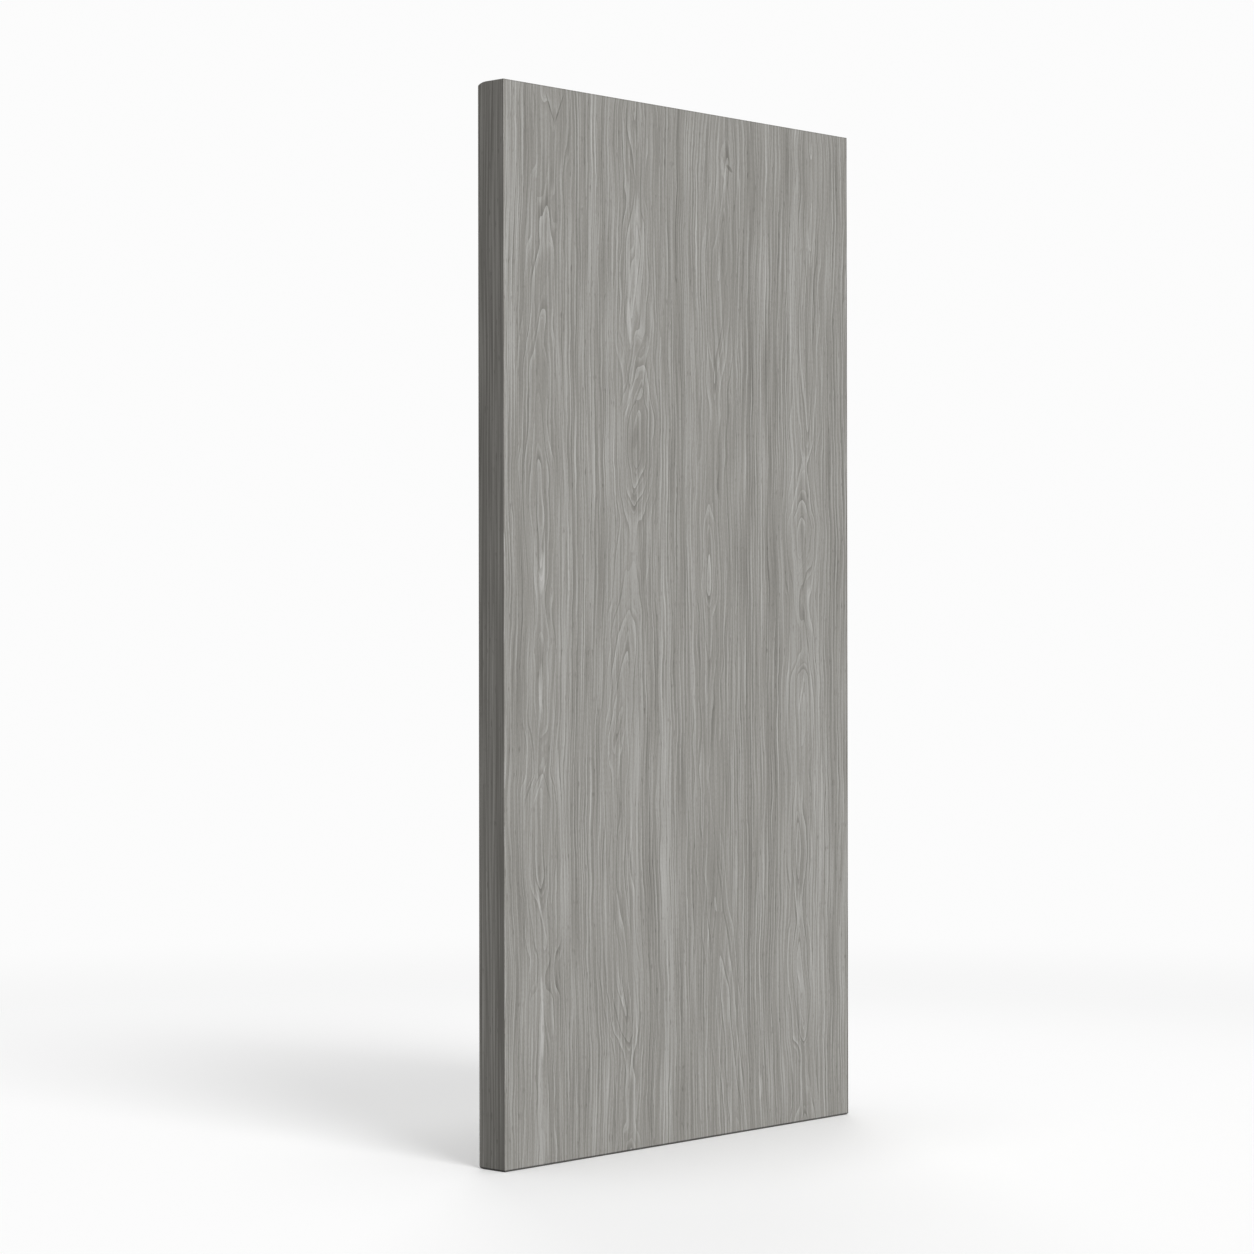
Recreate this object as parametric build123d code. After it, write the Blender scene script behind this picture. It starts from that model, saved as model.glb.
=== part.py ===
from build123d import *
import os

# Flush door leaf: a framed solid core between two sub-faces, lipped on all four edges,
# then faced on both sides with laminate and machined to its outline.
# The origin is the middle of the bottom edge, X runs across the width from the left,
# the front face looks along -Y, and Z is up. All sizes are in millimetres.

# Finished leaf
LEAF_WIDTH = 985.0
LEAF_HEIGHT = 1985.0
LEAF_THICKNESS = 72.0

# Layers through the thickness
LAMINATE_THICKNESS = 1.0
CROSSBAND_THICKNESS = 4.0

# Members in the plane of the leaf
LIPPING_WIDTH = 12.0
STILE_WIDTH = 45.0
TOP_RAIL_HEIGHT = 45.0
BOTTOM_RAIL_HEIGHT = 70.0

# Machined arrises: the back is rounded all round, the head slopes down to its back round,
# and the front is eased. At head and foot the back follows the lipping, so it never bares the sub-face.
BACK_ROUND_RADIUS = 10.0
HEAD_SLOPE_DEPTH = 17.0
HEAD_SLOPE_MARGIN = 4.0
HEAD_SLOPE_DROP = LIPPING_WIDTH - HEAD_SLOPE_MARGIN
HEAD_BLEND_RADIUS = 40.0
FOOT_ROUND_OVERRUN = 2.0
FOOT_ROUND_RADIUS = LIPPING_WIDTH + FOOT_ROUND_OVERRUN
FRONT_EASE = 0.6
LOWER_EASE = 3.0


def inset(span, distance):
    """The span with the same distance taken off both of its ends."""
    low, high = span
    return (low + distance, high - distance)


# Nested spans, from the finished outside inwards
FULL_X = (-LEAF_WIDTH / 2, LEAF_WIDTH / 2)
FULL_Y = (-LEAF_THICKNESS / 2, LEAF_THICKNESS / 2)
FULL_Z = (0.0, LEAF_HEIGHT)

FACED_Y = inset(FULL_Y, LAMINATE_THICKNESS)
CORE_Y = inset(FACED_Y, CROSSBAND_THICKNESS)

LIPPED_X = inset(FULL_X, LIPPING_WIDTH)
LIPPED_Z = inset(FULL_Z, LIPPING_WIDTH)

CORE_X = inset(LIPPED_X, STILE_WIDTH)
CORE_Z = (LIPPED_Z[0] + BOTTOM_RAIL_HEIGHT, LIPPED_Z[1] - TOP_RAIL_HEIGHT)


def blank(x, y, z):
    """A rectangular blank that fills the given spans along X, Y and Z."""
    spans = (x, y, z)
    sizes = [high - low for low, high in spans]
    middles = [(low + high) / 2 for low, high in spans]
    return Pos(*middles) * Box(*sizes)


def plan_pass():
    """The outline from above: both back arrises rounded, both front arrises eased."""
    section = Rectangle(LEAF_WIDTH, LEAF_THICKNESS)
    section = fillet(section.vertices().group_by(Axis.Y)[-1], BACK_ROUND_RADIUS)
    section = chamfer(section.vertices().group_by(Axis.Y)[0], FRONT_EASE)
    return extrude(section, amount=LEAF_HEIGHT)


def corner(section, across, up):
    """The section's corner at the given place."""
    return section.vertices().sort_by_distance((across, up))[0]


def side_pass():
    """The outline from the side: the back rounded at head and foot, the front eased."""
    (front, back), (foot, head) = FULL_Y, FULL_Z
    slope_top = (back - HEAD_SLOPE_DEPTH, head)
    slope_end = (back, head - HEAD_SLOPE_DROP)
    corners = [(front, foot), (back, foot), slope_end, slope_top, (front, head)]
    section = make_face(Polyline(*corners, close=True))
    section = fillet(corner(section, back, foot), FOOT_ROUND_RADIUS)
    section = fillet(corner(section, *slope_end), BACK_ROUND_RADIUS)
    section = fillet(corner(section, *slope_top), HEAD_BLEND_RADIUS)
    section = chamfer(corner(section, front, head), FRONT_EASE)
    section = chamfer(corner(section, front, foot), LOWER_EASE)
    return extrude(Plane.YZ * section, amount=LEAF_WIDTH / 2, both=True)


def front_pass():
    """The outline from the front: both lower corners eased."""
    section = Pos(0, LEAF_HEIGHT / 2) * Rectangle(LEAF_WIDTH, LEAF_HEIGHT)
    section = chamfer(section.vertices().group_by(Axis.Y)[0], LOWER_EASE)
    return extrude(Plane.XZ * section, amount=LEAF_THICKNESS / 2, both=True)


def members():
    """Each member's node name and its blank, before the leaf is machined to its outline."""
    left_lip_x = (FULL_X[0], LIPPED_X[0])
    right_lip_x = (LIPPED_X[1], FULL_X[1])
    left_stile_x = (LIPPED_X[0], CORE_X[0])
    right_stile_x = (CORE_X[1], LIPPED_X[1])
    return {
        "front_laminate": blank(FULL_X, (FULL_Y[0], FACED_Y[0]), FULL_Z),
        "back_laminate": blank(FULL_X, (FACED_Y[1], FULL_Y[1]), FULL_Z),
        "left_lipping": blank(left_lip_x, FACED_Y, FULL_Z),
        "right_lipping": blank(right_lip_x, FACED_Y, FULL_Z),
        "top_lipping": blank(LIPPED_X, FACED_Y, (LIPPED_Z[1], FULL_Z[1])),
        "bottom_lipping": blank(LIPPED_X, FACED_Y, (FULL_Z[0], LIPPED_Z[0])),
        "front_crossband": blank(LIPPED_X, (FACED_Y[0], CORE_Y[0]), LIPPED_Z),
        "back_crossband": blank(LIPPED_X, (CORE_Y[1], FACED_Y[1]), LIPPED_Z),
        "left_stile": blank(left_stile_x, CORE_Y, LIPPED_Z),
        "right_stile": blank(right_stile_x, CORE_Y, LIPPED_Z),
        "top_rail": blank(CORE_X, CORE_Y, (CORE_Z[1], LIPPED_Z[1])),
        "bottom_rail": blank(CORE_X, CORE_Y, (LIPPED_Z[0], CORE_Z[0])),
        "core": blank(CORE_X, CORE_Y, CORE_Z),
    }


outline = plan_pass() & side_pass() & front_pass()
os.makedirs("parts", exist_ok=True)
for node, member in members().items():
    machined = member & outline
    machined.label = node
    export_step(machined, f"parts/{node}.step")
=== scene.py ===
import math
from typing import NamedTuple

import bmesh
import bpy
from mathutils import Euler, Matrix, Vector


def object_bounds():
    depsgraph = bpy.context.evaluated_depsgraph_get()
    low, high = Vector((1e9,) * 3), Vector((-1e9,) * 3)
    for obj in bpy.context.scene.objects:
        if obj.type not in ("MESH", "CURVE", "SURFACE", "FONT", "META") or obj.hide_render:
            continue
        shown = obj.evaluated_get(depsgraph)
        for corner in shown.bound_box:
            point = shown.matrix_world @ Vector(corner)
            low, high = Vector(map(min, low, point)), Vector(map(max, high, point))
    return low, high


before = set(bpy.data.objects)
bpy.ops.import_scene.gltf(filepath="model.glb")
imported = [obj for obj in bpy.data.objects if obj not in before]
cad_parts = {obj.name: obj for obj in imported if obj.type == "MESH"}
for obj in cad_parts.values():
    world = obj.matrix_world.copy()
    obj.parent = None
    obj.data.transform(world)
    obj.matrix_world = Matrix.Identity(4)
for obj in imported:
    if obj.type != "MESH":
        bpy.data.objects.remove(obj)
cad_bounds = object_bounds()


class Grain(NamedTuple):
    """A noise in the wood: its grains per metre across and along, its own seed and its finer octaves."""

    across: float
    along: float
    seed: float
    octaves: float = 0.0


# The leaf's box gives every place on it: X across the width, Y front to back, Z up, in metres
LOW, HIGH = cad_bounds
LEFT, FRONT, FOOT = LOW
RIGHT, _, HEAD = HIGH
WIDTH = RIGHT - LEFT
HEIGHT = HEAD - FOOT
MM = 0.001

# Camera, fitted to the leaf's corners in the photograph
PHOTO_PIXELS = 1254
FOCAL_PIXELS = 3291.6
SENSOR_MM = 36.0
CAMERA_PLACE = (-4.7114, -4.2674, 0.9728)
CAMERA_YAW_DEG = -47.05
CAMERA_PITCH_DEG = 0.155
CAMERA_ROLL_DEG = -0.087

# Broad lamps, each as azimuth from the front, elevation and strength, and a weak even sky;
# a white surface that faces a lamp of strength 1 renders as white
LAMP_SPREAD_DEG = 30.0
LAMPS = {
    "front_lamp": (-12.0, 25.0, 0.61),
    "overhead_lamp": (0.0, 90.0, 0.44),
    "rear_lamp": (135.0, 15.0, 0.38),
}
SKY_STRENGTH = 0.25
BACKGROUND_WHITE = 0.972

# Floor: it keeps the shadow near the leaf, and farther out it fades into the background through a faint grey
# ring of painted shade, where a floor would turn up into a backdrop; the distances are in metres from the
# middle of the leaf
FLOOR_RADIUS = 40.0
FLOOR_SIDES = 96
FLOOR_BOUNCE = 0.45
FLOOR_WHITE = 0.93
SHADOW_REACH = 0.8
SHADOW_END = 2.8
SHADE_BAND_START = 1.2
SHADE_BAND_END = 4.5
SHADE_BAND_DEPTH = 0.045

# Heart figures stand in columns between upright grain, as on a flat-sawn veneer. Each column from foot
# to head: height and place from the left edge in millimetres, the rings that the crown is shifted by, and
# how pale its heart is. A figure points up where the rings grow with height, and down where they shrink.
FACE_COLUMNS = (
    ((0, 96, 0.5, 0.6), (105, 97, 1.0, 0.8), (299, 97, 1.7, 0.6), (350, 101, 2.6, 0.0),
     (400, 104, 2.0, 0.0), (480, 94, 1.2, 0.0), (610, 86, 0.1, 0.0), (700, 96, 1.1, 0.0),
     (740, 102, 2.1, 0.0), (785, 97, 1.8, 0.3), (835, 94, 1.0, 0.6), (950, 96, 0.8, 0.2),
     (1020, 98, 1.4, 0.4), (1060, 98, 1.2, 0.6), (1120, 94, 0.7, 0.2), (1240, 90, 0.5, 0.0),
     (1313, 87, 1.0, 0.2), (1445, 90, 2.0, 0.2), (1590, 99, 3.0, 0.0), (1778, 106, 4.0, 0.0),
     (1850, 120, 4.3, 0.0), (1918, 132, 3.9, -0.4), (1985, 132, 3.0, 0.0)),
    ((0, 340, 1.6, 0.3), (130, 334, 2.6, 0.0), (207, 331, 2.0, 0.0), (231, 328, 1.2, 0.0),
     (330, 300, 0.3, 0.0), (473, 284, 1.0, 0.0), (560, 290, 1.6, 0.0), (741, 289, 1.0, 0.0),
     (800, 300, 0.7, 0.0), (876, 319, 1.1, 0.2), (1000, 334, 2.4, 0.0), (1150, 344, 3.9, 0.0),
     (1213, 347, 3.1, -0.4), (1241, 349, 2.2, 0.0), (1285, 351, 1.1, -0.2), (1345, 353, 0.1, -0.4),
     (1415, 363, 1.3, -0.1), (1468, 373, 2.4, 0.0), (1520, 382, 3.2, 0.0), (1600, 388, 3.6, 0.0)),
    ((1420, 334, 3.4, 0.0), (1500, 337, 2.4, 0.3), (1530, 339, 1.4, 0.6), (1600, 344, 0.6, 0.6),
     (1680, 352, 0.3, 0.5), (1750, 358, 0.8, 0.6), (1815, 357, 1.7, 0.4), (1870, 352, 1.2, 0.2),
     (1985, 346, 0.5, 0.0)),
    ((0, 640, 1.0, 0.0), (300, 600, 1.6, 0.0), (700, 552, 2.4, 0.0), (1000, 560, 1.4, 0.0),
     (1090, 560, 0.6, 0.2), (1215, 562, 1.6, 0.0), (1330, 574, 2.5, 0.0), (1480, 579, 2.0, 0.0),
     (1600, 586, 1.2, -0.1), (1700, 592, 0.7, -0.1), (1820, 612, 1.4, 0.0), (1985, 612, 2.2, 0.0)),
    ((0, 846, 1.5, -0.2), (100, 847, 2.6, 0.0), (173, 847, 1.4, 0.3), (283, 836, 0.5, 0.4),
     (383, 829, 1.0, 0.3), (420, 829, 1.5, 0.0), (540, 829, 0.5, -0.2), (694, 829, 1.4, 0.0),
     (760, 838, 0.7, 0.3), (860, 848, 0.6, 0.3), (905, 848, 1.6, 0.2), (1010, 830, 2.8, 0.0),
     (1086, 822, 2.0, 0.0), (1120, 829, 1.1, -0.1), (1171, 838, 0.1, -0.3), (1220, 842, 1.1, 0.0),
     (1261, 846, 2.1, 0.0), (1305, 850, 2.7, 0.0), (1356, 857, 2.0, 0.0), (1500, 862, 1.5, -0.3),
     (1660, 869, 1.6, 0.0), (1707, 869, 1.2, 0.3), (1800, 872, 0.6, 0.4), (1870, 874, 0.9, 0.4),
     (1985, 874, 0.6, 0.3)),
)

# How a column ends, the limits of its values, and how slowly its line follows its figures aside
COLUMN_FADE = 40.0 * MM
CROWN_LIMIT = 5.0
HEART_LIMIT = 1.0
SETTLING_MM = 260
SHIFT_LIMIT_MM = 40
SHIFT_REACH = 40.0 * MM

# Rings of a figure: their spacing, how far a crown reaches aside, where the figure gives way to upright
# grain, how round its tips are, the fainter lines beside its rings, and how it pushes the grain around it
RING_SPACING = 14.0 * MM
FIGURE_REACH = 60.0 * MM
FIGURE_CORE = 34.0 * MM
FIGURE_EDGE = 76.0 * MM
FIGURE_COVER = 0.42
TIP_ROUND = 4.0 * MM
FINE_RINGS = 2.0
FINE_RING_START = 0.3
FINE_RING_SHARE = 0.30
HEART_RINGS = (1.35, 1.75)
COLUMN_SEED = 31.0
STIR = Grain(50.0, 12.0, 0.0)
STIR_RINGS = 0.9
BULGE_REACH = 50.0 * MM
BULGE_SHARE = 0.30

# Each ring starts dark, runs plain and ends in a pale line: where the dark ends and where the pale starts
RING_DARK_START = 0.03
RING_PALE_END = 0.95
RING_DARKNESS = 0.8
FIGURE_RING = (0.30, 0.76)
FINE_RING = (0.40, 0.62)
UPRIGHT_RING = (0.42, 0.62)

# How ring lines come and go: a ring of a figure as a whole, and upright rings along their length
RING_VARIETY = 3.7
FIGURE_VARIETY = (12.0, 6.0)
FIGURE_STRENGTH = (-0.12, 0.12, 0.20, 1.0)
UPRIGHT_VARIETY = Grain(60.0, 4.0, 19.0)
UPRIGHT_STRENGTH = (-0.15, 0.15, 0.40, 1.0)

# Upright grain: its rings drift closer and wider, with broad and narrow bands, furrows and short pores
LINE_SPACING = 10.0 * MM
DRIFT = Grain(30.0, 0.6, 17.0)
DRIFT_RINGS = 2.6
BROAD_BANDS = Grain(20.0, 0.5, 11.0)
NARROW_BANDS = Grain(48.0, 0.8, 13.0)
FURROWS = Grain(230.0, 5.0, 23.0)
PORES = Grain(330.0, 45.0, 29.0)
PORE_RIM = (0.20, 0.32)
SPECKLE = Grain(420.0, 160.0, 37.0, 1.0)

# What bends the face's grain aside: a slow sway, a wobble and a ragged rim
SWAY = Grain(3.0, 2.2, 0.0)
SWAY_REACH = 30.0 * MM
WOBBLE = Grain(24.0, 7.0, 3.0, 1.0)
WOBBLE_REACH = 11.0 * MM
RAGGED = Grain(60.0, 22.0, 5.0, 1.0)
RAGGED_REACH = 4.0 * MM

# How much each feature lightens or darkens, where 1 goes from the darkest to the palest grey
CONTOUR_TONE = 0.26
HEART_TONE = 0.16
BROAD_TONE = 0.34
NARROW_TONE = 0.26
RING_TONE = 0.23
FURROW_TONE = 0.66
PORE_TONE = 0.26
SPECKLE_TONE = 0.18
LEAST_UPRIGHT = 0.1
GRAIN_CONTRAST = 1.15
PLAIN_TONE = 0.5

# Flecks, pale or dark, where the veneer was cut along a ring: the place from the left edge, the height,
# the half width, the half length and the lean to the right at the top in millimetres, and the lightening
FACE_FLECKS = (
    (120, 1947, 2, 30, -12, -0.30), (145, 1947, 2, 30, 13, -0.30), (133, 1930, 6, 20, 0, -0.12),
    (99, 1088, 8, 46, 1, 0.20), (97, 965, 3, 90, 1, 0.18), (95, 878, 6, 54, 1, 0.22),
    (91, 702, 2.5, 42, 19, 0.20), (93, 468, 2.5, 70, -18, 0.18), (97, 318, 4, 36, 0, 0.22),
    (97, 246, 5, 58, 1, 0.22), (89, 150, 3, 95, 3, 0.20), (355, 1756, 5, 66, 2, 0.16),
    (369, 1675, 6, 95, 3, 0.16), (337, 1660, 5, 60, 6, 0.14), (334, 1566, 7, 50, -5, 0.26),
    (357, 1630, 6, 60, -5, 0.16), (339, 1446, 3, 68, 17, 0.26), (349, 1348, 9, 26, 4, -0.12),
    (348, 1226, 9, 24, 0, -0.16), (327, 803, 2, 75, -5, 0.18), (308, 301, 2, 70, -16, 0.16),
    (338, 190, 2, 70, 7, 0.20), (333, 158, 2, 50, 3, -0.18), (352, 70, 2, 70, 6, 0.20),
    (604, 1884, 4, 26, -3, 0.18), (621, 1885, 7, 8, -8, -0.30), (570, 1510, 2, 40, -10, 0.16),
    (594, 1520, 2, 48, 13, 0.16), (550, 890, 2, 110, -5, 0.20), (558, 395, 2, 60, -4, 0.18),
    (552, 240, 2, 110, 8, 0.16), (713, 84, 5, 28, 1, 0.20), (863, 1750, 2, 48, -5, 0.22),
    (875, 1750, 2, 48, 7, 0.22), (848, 1450, 2.5, 95, -13, 0.20), (842, 1455, 2.5, 90, -13, -0.16),
    (838, 858, 2, 48, 10, 0.22), (857, 840, 2, 60, 1, 0.18), (820, 637, 2, 60, 6, 0.20),
    (834, 637, 2, 60, -5, 0.16), (821, 433, 2, 50, -6, 0.20), (833, 425, 2, 42, 5, 0.16),
    (839, 203, 2, 30, -9, 0.20), (903, 664, 4, 82, 0, 0.26),
)
FLECK_CORE = 0.35

# Decor colours from dark to pale, as screen values out of 255
DARK_GREY = (110, 108, 103)
MID_GREY = (150, 148, 143)
PALE_GREY = (190, 189, 186)

# Lipping: stained darker than the face, and darker still beside the front arris
LIPPING_TONE = 0.165
LIPPING_SWAY = Grain(8.0, 1.6, 0.0, 1.0)
LIPPING_SWAY_REACH = 16.0 * MM
FRONT_BAND = (14.0 * MM, 20.0 * MM)
FRONT_BAND_TONE = 0.07

# Rims of a face: painted shade darkens foot, head and right edge, and a painted highlight makes the left
# arris pale
RIM_FADE = 0.5 * MM
FOOT_RIM = 3.6 * MM
FOOT_PAINTED_SHADE = 0.45
HEAD_RIM = 1.5 * MM
HEAD_PAINTED_SHADE = 0.75
SIDE_RIM = 3.0 * MM
RIGHT_PAINTED_SHADE = 0.70
LEFT_PAINTED_HIGHLIGHT = 1.08

# Sheen, roughness from the darkest to the palest tone, and relief
SPECULAR = 0.3
LAMINATE_ROUGHNESS = (0.62, 0.46)
LIPPING_ROUGHNESS = (0.66, 0.50)
TIMBER_ROUGHNESS = (0.85, 0.65)
BUMP_STRENGTH = 0.5
EMBOSS_DEPTH = 0.15 * MM
EMBOSS_PORES = 0.6
TIMBER_RELIEF = 0.2 * MM

# Timber and boards inside the leaf, with streaks finer one way than the other
FIBREBOARD = (140, 108, 78)
PINE = (205, 172, 126)
PARTICLEBOARD = (186, 156, 118)
STREAKS_ACROSS = (120.0, 60.0)
STREAKS_ALONG = 6.0
STREAK_OCTAVES = 3.0
STREAK_SHADES = (0.75, 1.2)

# Finishes: each lipping's grain direction and seed, and each sealed member's material, colour, direction
# and seed
FRONT_SEED = 1.0
BACK_SEED = 51.0
LIPPINGS = {
    "left_lipping": ("z", 101.0),
    "right_lipping": ("z", 141.0),
    "top_lipping": ("x", 201.0),
    "bottom_lipping": ("x", 241.0),
}
SEALED_MEMBERS = {
    "front_crossband": ("front_fibreboard", FIBREBOARD, "z", 301.0),
    "back_crossband": ("back_fibreboard", FIBREBOARD, "z", 302.0),
    "left_stile": ("left_stile_pine", PINE, "z", 401.0),
    "right_stile": ("right_stile_pine", PINE, "z", 402.0),
    "top_rail": ("top_rail_pine", PINE, "x", 501.0),
    "bottom_rail": ("bottom_rail_pine", PINE, "x", 502.0),
    "core": ("particleboard", PARTICLEBOARD, "z", 601.0),
}


class Field:
    """A number that varies over a surface, held as a shader socket that formulas can use."""

    def __init__(self, tree, socket):
        self.tree = tree
        self.socket = socket

    def math(self, operation, *others):
        node = self.tree.nodes.new("ShaderNodeMath")
        node.operation = operation
        for plug, value in zip(node.inputs, (self, *others)):
            connect(self.tree, value, plug)
        return Field(self.tree, node.outputs[0])

    def __add__(self, other):
        return self.math("ADD", other)

    def __sub__(self, other):
        return self.math("SUBTRACT", other)

    def __mul__(self, other):
        return self.math("MULTIPLY", other)

    def __truediv__(self, other):
        return self.math("DIVIDE", other)

    def __pow__(self, other):
        return self.math("POWER", other)

    def __abs__(self):
        return self.math("ABSOLUTE")

    def times_plus(self, factor, addend):
        """The field times a factor, plus an addend, in one step."""
        return self.math("MULTIPLY_ADD", factor, addend)

    def ramp(self, start, end, low=0.0, high=1.0):
        """Goes smoothly from low at start to high at end."""
        node = self.tree.nodes.new("ShaderNodeMapRange")
        node.interpolation_type = "SMOOTHSTEP"
        connect(self.tree, self, node.inputs["Value"])
        for name, value in (("From Min", start), ("From Max", end), ("To Min", low), ("To Max", high)):
            node.inputs[name].default_value = value
        return Field(self.tree, node.outputs["Result"])


def connect(tree, value, plug):
    """Links a field to a socket, or sets a plain number on it."""
    if isinstance(value, Field):
        tree.links.new(value.socket, plug)
    else:
        plug.default_value = value


def linear(screen):
    """A screen colour out of 255 as the linear colour that shaders use."""
    shares = [value / 255 for value in screen]
    return tuple(s / 12.92 if s <= 0.04045 else ((s + 0.055) / 1.055) ** 2.4 for s in shares)


def new_material(name):
    """A node material with its shader and a field for each object coordinate."""
    material = bpy.data.materials.new(name)
    material.use_nodes = True
    tree = material.node_tree
    place = tree.nodes.new("ShaderNodeTexCoord")
    split = tree.nodes.new("ShaderNodeSeparateXYZ")
    tree.links.new(place.outputs["Object"], split.inputs[0])
    fields = {axis: Field(tree, socket) for axis, socket in zip("xyz", split.outputs)}
    return material, tree, tree.nodes["Principled BSDF"], fields


def noise(tree, place, octaves):
    """Noise about 0, mostly within 0.25, whose grains are one unit long each way."""
    join = tree.nodes.new("ShaderNodeCombineXYZ")
    for plug, value in zip(join.inputs, place):
        connect(tree, value, plug)
    node = tree.nodes.new("ShaderNodeTexNoise")
    node.inputs["Scale"].default_value = 1.0
    node.inputs["Detail"].default_value = octaves
    tree.links.new(join.outputs[0], node.inputs["Vector"])
    return Field(tree, node.outputs["Fac"]) - 0.5


def grain(tree, kind, across, along, seed):
    """A noise of the given kind at a place in the wood."""
    return noise(tree, (across * kind.across, along * kind.along, seed + kind.seed), kind.octaves)


def height_curve(tree, up, points, limit):
    """A smooth curve through given points from the lowest to the highest, within 0 and the limit."""
    node = tree.nodes.new("ShaderNodeFloatCurve")
    curve = node.mapping.curves[0]
    low, high = points[0][0], points[-1][0]
    shares = [((height - low) / (high - low), value / limit) for height, value in points]
    curve.points[0].location = shares[0]
    curve.points[1].location = shares[-1]
    for height, value in shares[1:-1]:
        curve.points.new(height, value)
    for point in curve.points:
        point.handle_type = "AUTO_CLAMPED"
    node.mapping.update()
    connect(tree, (up - low * MM) / ((high - low) * MM), node.inputs["Value"])
    return Field(tree, node.outputs[0]) * limit


def settled(column):
    """The column's slow line: each place averaged with its neighbours within the settling reach."""
    line = []
    for height, *_ in column:
        near = [place for other, place, *_ in column if abs(other - height) <= SETTLING_MM]
        line.append((height, sum(near) / len(near)))
    return line


def column_fields(tree, across, up, column):
    """How far a place lies aside of a column's slow line, the line's own shift, its crown and heart."""
    slow = settled(column)
    shifts = []
    for (height, place, *_), (_, line) in zip(column, slow):
        shifts.append((height, place - line + SHIFT_LIMIT_MM))
    crowns = [(height, rings) for height, _, rings, _ in column]
    hearts = [(height, pale + HEART_LIMIT) for height, *_, pale in column]
    aside = across - height_curve(tree, up, slow, WIDTH / MM) * MM
    shift = (height_curve(tree, up, shifts, 2 * SHIFT_LIMIT_MM) - SHIFT_LIMIT_MM) * MM
    crown = height_curve(tree, up, crowns, CROWN_LIMIT)
    heart = height_curve(tree, up, hearts, 2 * HEART_LIMIT) - HEART_LIMIT
    return aside, shift, crown, heart


def within(up, column):
    """1 between the ends of a column, fading to 0 past an end that lies inside the face."""
    low, high = column[0][0] * MM, column[-1][0] * MM
    start_fade = 0.0 if low == 0.0 else COLUMN_FADE
    stop_fade = 0.0 if high >= HEIGHT else COLUMN_FADE
    start = up.ramp(low - COLUMN_FADE, low + start_fade)
    stop = up.ramp(high - stop_fade, high + COLUMN_FADE, 1.0, 0.0)
    return start * stop


def nearness(distance, reach):
    """1 at no distance, falling away over the reach."""
    return (distance / -reach).math("EXPONENT")


def ring_profile(count, marks):
    """Growth rings one after another, with the marks where a ring's dark ends and its pale starts."""
    dark_end, pale_start = marks
    share = count.math("FRACT")
    return share.ramp(pale_start, RING_PALE_END) - share.ramp(RING_DARK_START, dark_end, RING_DARKNESS, 0.0)


def figure_strength(tree, count, aside, up, seed):
    """How strongly each ring of a figure shows."""
    variety_across, variety_along = FIGURE_VARIETY
    ring = count.math("FLOOR") * RING_VARIETY
    return noise(tree, (ring, up * variety_along, aside * variety_across + seed), 0.0).ramp(*FIGURE_STRENGTH)


def bulge(aside, crown):
    """How far a column's figures push the upright grain beside them."""
    reach = aside / BULGE_REACH
    fall = (reach * reach * -0.5).math("EXPONENT")
    return reach * fall * (crown * -1.0 + CROWN_LIMIT) * (RING_SPACING * BULGE_SHARE)


def figure_tone(tree, column, across, up, seed):
    """One column's figures: their ring lines and hearts, their share of the place and their push."""
    aside, shift, crown, heart = column_fields(tree, across, up, column)
    present = within(up, column)
    local = aside - shift * nearness(abs(aside), SHIFT_REACH)
    distance = (local * local + TIP_ROUND ** 2) ** 0.5
    share = distance.ramp(FIGURE_CORE, FIGURE_EDGE, 1.0, 0.0) * present

    stir = grain(tree, STIR, aside, up, seed) * STIR_RINGS
    count = distance / RING_SPACING + crown * nearness(distance, FIGURE_REACH) + stir
    fine = ring_profile(count * FINE_RINGS + FINE_RING_START, FINE_RING)
    lines = ring_profile(count, FIGURE_RING) + fine * FINE_RING_SHARE
    filled = heart * count.ramp(*HEART_RINGS, 1.0, 0.0)
    strength = figure_strength(tree, count, aside, up, seed)
    contours = lines * strength * CONTOUR_TONE + filled * HEART_TONE
    return contours * share, share, bulge(aside, crown) * present


def fleck_tone(across, up, flecks):
    """The lightening by all flecks, each a leaning ellipse with a soft rim."""
    tone = 0.0
    for place, height, half_width, half_length, lean, lightening in flecks:
        rise = up.times_plus(1 / (half_length * MM), -height / half_length)
        aside = across.times_plus(1 / (half_width * MM), -place / half_width)
        aside = rise.times_plus(-lean / half_width, aside)
        tone = rise.times_plus(rise, aside * aside).ramp(FLECK_CORE, 1.0, lightening, 0.0) + tone
    return tone


def line_tone(tree, across, along, seed):
    """Upright grain: broad and narrow bands, ring lines, furrows and pores."""
    broad = grain(tree, BROAD_BANDS, across, along, seed)
    narrow = grain(tree, NARROW_BANDS, across, along, seed)
    drift = grain(tree, DRIFT, across, along, seed) * DRIFT_RINGS
    strength = grain(tree, UPRIGHT_VARIETY, across, along, seed).ramp(*UPRIGHT_STRENGTH)
    rings = ring_profile(across / LINE_SPACING + drift, UPRIGHT_RING) * strength
    furrows = grain(tree, FURROWS, across, along, seed)
    pores = grain(tree, PORES, across, along, seed).ramp(*PORE_RIM)
    bands = broad * BROAD_TONE + narrow * NARROW_TONE
    return bands + rings * RING_TONE + furrows * FURROW_TONE - pores * PORE_TONE


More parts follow.
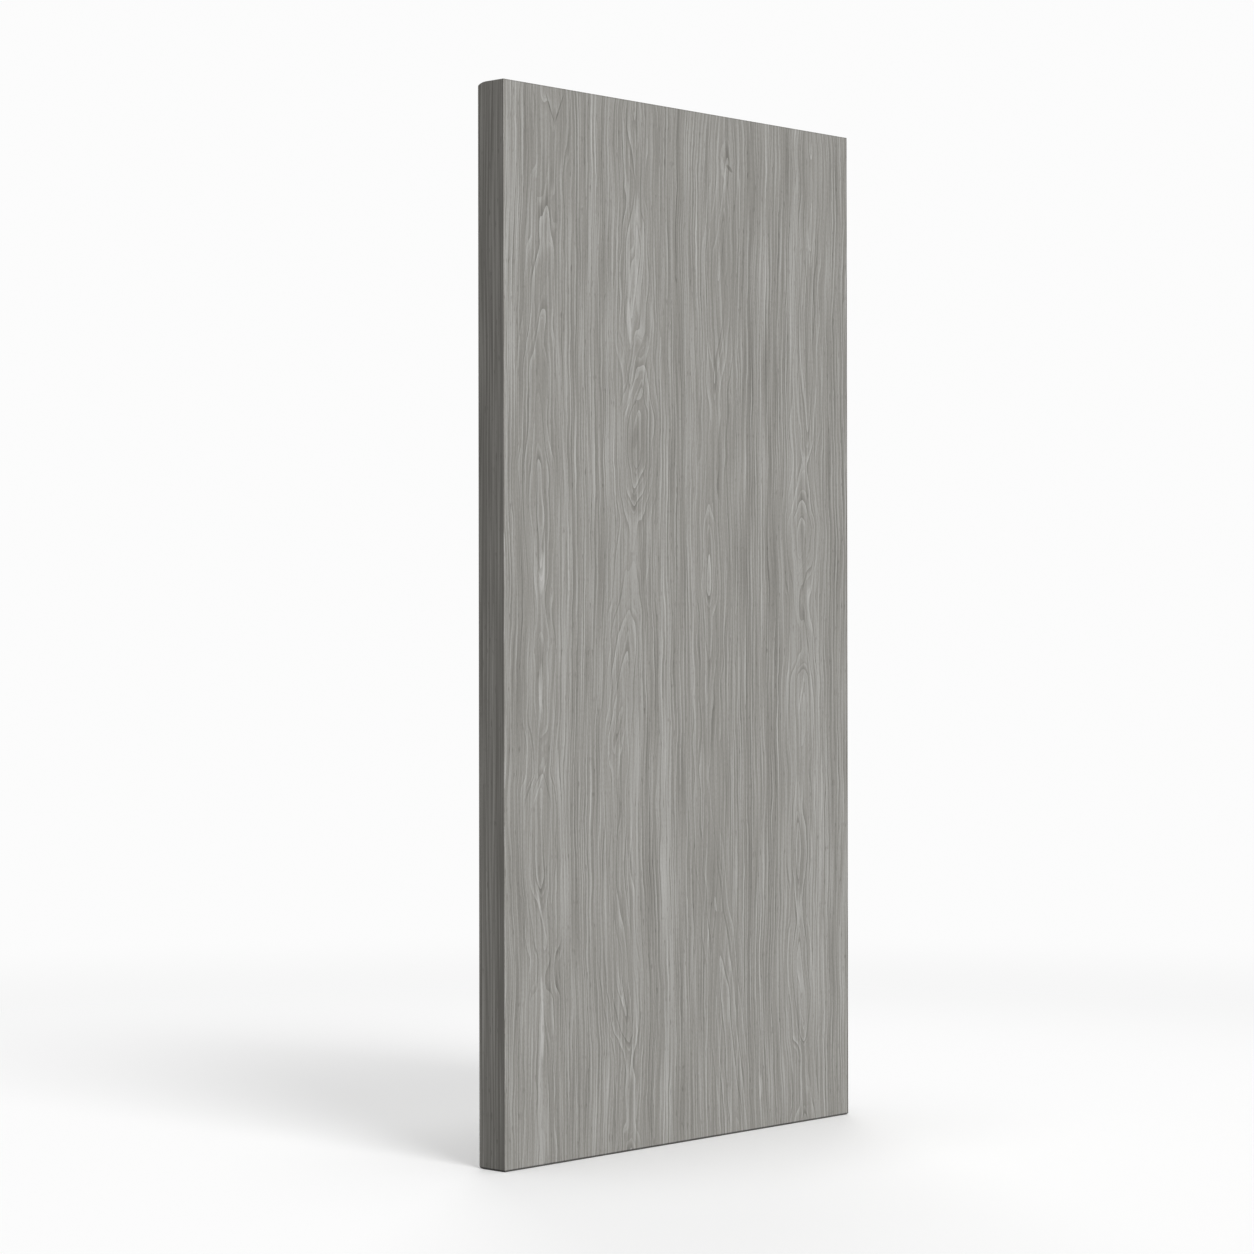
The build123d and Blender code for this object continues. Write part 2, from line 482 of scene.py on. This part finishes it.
def grain_tone(tree, across, up, columns, flecks, seed):
    """The face's lightness, from its figures, its flecks and the upright grain between them."""
    sway = grain(tree, SWAY, across, up, seed) * SWAY_REACH
    wobble = grain(tree, WOBBLE, across, up, seed) * WOBBLE_REACH
    ragged = grain(tree, RAGGED, across, up, seed) * RAGGED_REACH
    bent = across + wobble + ragged
    pushed = bent + sway
    upright = 1.0
    tone = grain(tree, SPECKLE, across, up, seed) * SPECKLE_TONE + fleck_tone(bent, up, flecks)
    for number, column in enumerate(columns):
        contours, share, push = figure_tone(tree, column, bent, up, seed + COLUMN_SEED + number)
        tone = tone + contours
        upright = share * -FIGURE_COVER + upright
        pushed = pushed - push
    tone = tone + line_tone(tree, pushed, up, seed) * upright.math("MAXIMUM", LEAST_UPRIGHT)
    return tone.times_plus(GRAIN_CONTRAST, PLAIN_TONE)


def painted_foot_shade(up):
    """The painted shade along the foot."""
    return up.ramp(FOOT_RIM, FOOT_RIM + RIM_FADE, FOOT_PAINTED_SHADE, 1.0)


def painted_rim_shading(across, up):
    """The painted light on the rims of a face: painted shade along foot, head and right edge, a painted
    highlight at the left arris.
    """
    head = up.ramp(HEIGHT - HEAD_RIM - RIM_FADE, HEIGHT - HEAD_RIM, 1.0, HEAD_PAINTED_SHADE)
    right = across.ramp(WIDTH - SIDE_RIM - RIM_FADE, WIDTH - SIDE_RIM, 1.0, RIGHT_PAINTED_SHADE)
    left = across.ramp(SIDE_RIM, SIDE_RIM + RIM_FADE, LEFT_PAINTED_HIGHLIGHT, 1.0)
    return painted_foot_shade(up) * head * right * left


def decor_colour(tree, tone, shade):
    """The grey for a tone, under a shade."""
    node = tree.nodes.new("ShaderNodeValToRGB")
    stops = node.color_ramp.elements
    stops[0].color = (*linear(DARK_GREY), 1)
    stops[1].color = (*linear(PALE_GREY), 1)
    middle = stops.new(PLAIN_TONE)
    middle.color = (*linear(MID_GREY), 1)
    connect(tree, tone, node.inputs[0])
    shaded = tree.nodes.new("ShaderNodeVectorMath")
    shaded.operation = "SCALE"
    tree.links.new(node.outputs["Color"], shaded.inputs[0])
    connect(tree, shade, shaded.inputs["Scale"])
    return shaded.outputs[0]


def add_bump(tree, shader, height, depth):
    """Gives the shader a fine relief from a field."""
    node = tree.nodes.new("ShaderNodeBump")
    node.inputs["Strength"].default_value = BUMP_STRENGTH
    node.inputs["Distance"].default_value = depth
    connect(tree, height, node.inputs["Height"])
    tree.links.new(node.outputs["Normal"], shader.inputs["Normal"])


def finish_wood(tree, shader, colour, roughness, relief, depth):
    """Gives a wood surface its colour, roughness and relief."""
    tree.links.new(colour, shader.inputs["Base Color"])
    connect(tree, roughness, shader.inputs["Roughness"])
    add_bump(tree, shader, relief, depth)


def emboss(tree, across, along, seed):
    """The relief of a finished wood surface: fine furrows with short pores in them."""
    furrows = grain(tree, FURROWS, across, along, seed)
    return furrows + grain(tree, PORES, across, along, seed) * EMBOSS_PORES


def laminate_material(name, columns, flecks, seed):
    """Wood-grain laminate with figures in columns, upright grain and a satin emboss."""
    material, tree, shader, fields = new_material(name)
    across, up = fields["x"] - LEFT, fields["z"] - FOOT
    tone = grain_tone(tree, across, up, columns, flecks, seed)
    # the rims get painted shade along foot, head and right edge and a painted highlight at the left arris
    colour = decor_colour(tree, tone, painted_rim_shading(across, up))
    roughness = tone.ramp(0.0, 1.0, *LAMINATE_ROUGHNESS)
    finish_wood(tree, shader, colour, roughness, emboss(tree, across, up, seed), EMBOSS_DEPTH)
    shader.inputs["Specular IOR Level"].default_value = SPECULAR
    return material


def lipping_material(name, along_axis, seed):
    """Straight-grained lipping; the axis says which way its grain runs."""
    material, tree, shader, fields = new_material(name)
    across, along = fields["y"], fields[along_axis]
    sway = grain(tree, LIPPING_SWAY, across, along, seed) * LIPPING_SWAY_REACH
    tone = line_tone(tree, across + sway, along, seed) + LIPPING_TONE
    tone = tone - (across - FRONT).ramp(*FRONT_BAND, FRONT_BAND_TONE, 0.0)
    # painted shade along the foot of the lipping
    colour = decor_colour(tree, tone, painted_foot_shade(fields["z"] - FOOT))
    roughness = tone.ramp(0.0, 1.0, *LIPPING_ROUGHNESS)
    finish_wood(tree, shader, colour, roughness, emboss(tree, across, along, seed), EMBOSS_DEPTH)
    shader.inputs["Specular IOR Level"].default_value = SPECULAR
    return material


def plain_wood_material(name, colour, along_axis, seed):
    """Sealed framing and boards: a plain streaked timber or board."""
    material, tree, shader, fields = new_material(name)
    along = fields.pop(along_axis)
    first, second = (field * streaks for field, streaks in zip(fields.values(), STREAKS_ACROSS))
    streak = noise(tree, (first + second, along * STREAKS_ALONG, seed), STREAK_OCTAVES) + 0.5
    node = tree.nodes.new("ShaderNodeValToRGB")
    for stop, shade in zip(node.color_ramp.elements, STREAK_SHADES):
        stop.color = (*[min(1.0, shade * c) for c in linear(colour)], 1)
    connect(tree, streak, node.inputs[0])
    roughness = streak.ramp(0.0, 1.0, *TIMBER_ROUGHNESS)
    finish_wood(tree, shader, node.outputs["Color"], roughness, streak, TIMBER_RELIEF)
    return material


def dress(node, material):
    """Puts one material on a node of the leaf."""
    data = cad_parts[node].data
    data.materials.clear()
    data.materials.append(material)


def mirrored_columns(columns):
    """The same columns on the other side of the leaf."""
    width = WIDTH / MM
    return [[(height, width - place, *rest) for height, place, *rest in column] for column in columns]


def mirrored_flecks(flecks):
    """The same flecks on the other side of the leaf."""
    width = WIDTH / MM
    mirrored = []
    for place, height, half_width, half_length, lean, lightening in flecks:
        mirrored.append((width - place, height, half_width, half_length, -lean, lightening))
    return mirrored


def dress_leaf():
    """Gives every member its finish."""
    back_columns = mirrored_columns(FACE_COLUMNS)
    back_flecks = mirrored_flecks(FACE_FLECKS)
    dress("front_laminate", laminate_material("front_decor", FACE_COLUMNS, FACE_FLECKS, FRONT_SEED))
    dress("back_laminate", laminate_material("back_decor", back_columns, back_flecks, BACK_SEED))
    for node, (along_axis, seed) in LIPPINGS.items():
        dress(node, lipping_material(node + "_grain", along_axis, seed))
    for node, (name, colour, along_axis, seed) in SEALED_MEMBERS.items():
        dress(node, plain_wood_material(name, colour, along_axis, seed))


def make_camera():
    """The photograph's camera."""
    data = bpy.data.cameras.new("camera")
    data.sensor_width = SENSOR_MM
    data.lens = FOCAL_PIXELS / PHOTO_PIXELS * SENSOR_MM
    camera = bpy.data.objects.new("camera", data)
    camera.location = CAMERA_PLACE
    yaw = Euler((0, 0, math.radians(CAMERA_YAW_DEG))).to_matrix()
    pitch = Euler((math.radians(90 + CAMERA_PITCH_DEG), 0, 0)).to_matrix()
    roll = Euler((0, 0, math.radians(CAMERA_ROLL_DEG))).to_matrix()
    camera.rotation_euler = (yaw @ pitch @ roll).to_euler()
    bpy.context.scene.collection.objects.link(camera)
    bpy.context.scene.camera = camera


def make_lamps():
    """Broad distant lamps, so that the leaf is lit alike from head to foot."""
    for name, (azimuth_deg, elevation_deg, strength) in LAMPS.items():
        azimuth, elevation = math.radians(azimuth_deg), math.radians(elevation_deg)
        level = math.cos(elevation)
        toward = Vector((math.sin(azimuth) * level, -math.cos(azimuth) * level, math.sin(elevation)))
        data = bpy.data.lights.new(name, "SUN")
        data.angle = math.radians(LAMP_SPREAD_DEG)
        data.energy = math.pi * strength
        lamp = bpy.data.objects.new(name, data)
        lamp.rotation_euler = toward.to_track_quat("Z", "Y").to_euler()
        bpy.context.scene.collection.objects.link(lamp)


def seen_directly(tree):
    """1 for what the camera sees, itself or in a gloss or through glass."""
    path = tree.nodes.new("ShaderNodeLightPath")
    names = ("Is Camera Ray", "Is Glossy Ray", "Is Transmission Ray")
    camera, glossy, through = (Field(tree, path.outputs[name]) for name in names)
    return camera.math("MAXIMUM", glossy).math("MAXIMUM", through)


def make_sky():
    """A weak even sky that looks white."""
    world = bpy.data.worlds.new("sky")
    world.use_nodes = True
    tree = world.node_tree
    sky = tree.nodes["Background"]
    sky.inputs["Color"].default_value = (1, 1, 1, 1)
    strength = seen_directly(tree) * (BACKGROUND_WHITE - SKY_STRENGTH) + SKY_STRENGTH
    connect(tree, strength, sky.inputs["Strength"])
    bpy.context.scene.world = world


def floor_material():
    """A pale matt floor near the leaf that fades into the background farther out."""
    material, tree, shader, fields = new_material("floor_white")
    tree.nodes.remove(shader)
    seen = seen_directly(tree)
    distance = (fields["x"] * fields["x"] + fields["y"] * fields["y"]) ** 0.5

    lit = tree.nodes.new("ShaderNodeBsdfDiffuse")
    white = seen * (FLOOR_WHITE - FLOOR_BOUNCE) + FLOOR_BOUNCE
    tint = tree.nodes.new("ShaderNodeCombineColor")
    for plug in tint.inputs:
        connect(tree, white, plug)
    tree.links.new(tint.outputs[0], lit.inputs["Color"])

    glow = tree.nodes.new("ShaderNodeEmission")
    middle = (SHADE_BAND_START + SHADE_BAND_END) / 2
    # a ring of painted shade darkens the glowing floor between the band's start and end
    shade_band = distance.ramp(SHADE_BAND_START, middle) * distance.ramp(middle, SHADE_BAND_END, 1.0, 0.0)
    connect(tree, shade_band * -SHADE_BAND_DEPTH + BACKGROUND_WHITE, glow.inputs["Strength"])

    blend = tree.nodes.new("ShaderNodeMixShader")
    connect(tree, distance.ramp(SHADOW_REACH, SHADOW_END) * seen, blend.inputs[0])
    tree.links.new(lit.outputs[0], blend.inputs[1])
    tree.links.new(glow.outputs[0], blend.inputs[2])
    tree.links.new(blend.outputs[0], tree.nodes["Material Output"].inputs["Surface"])
    return material


def make_floor():
    """The floor that the leaf stands on."""
    mesh = bpy.data.meshes.new("floor")
    shape = bmesh.new()
    bmesh.ops.create_circle(shape, cap_ends=True, segments=FLOOR_SIDES, radius=FLOOR_RADIUS)
    shape.to_mesh(mesh)
    shape.free()
    mesh.materials.append(floor_material())
    floor = bpy.data.objects.new("floor", mesh)
    bpy.context.scene.collection.objects.link(floor)


dress_leaf()
make_camera()
make_lamps()
make_sky()
make_floor()
bpy.context.scene.view_settings.view_transform = "Standard"
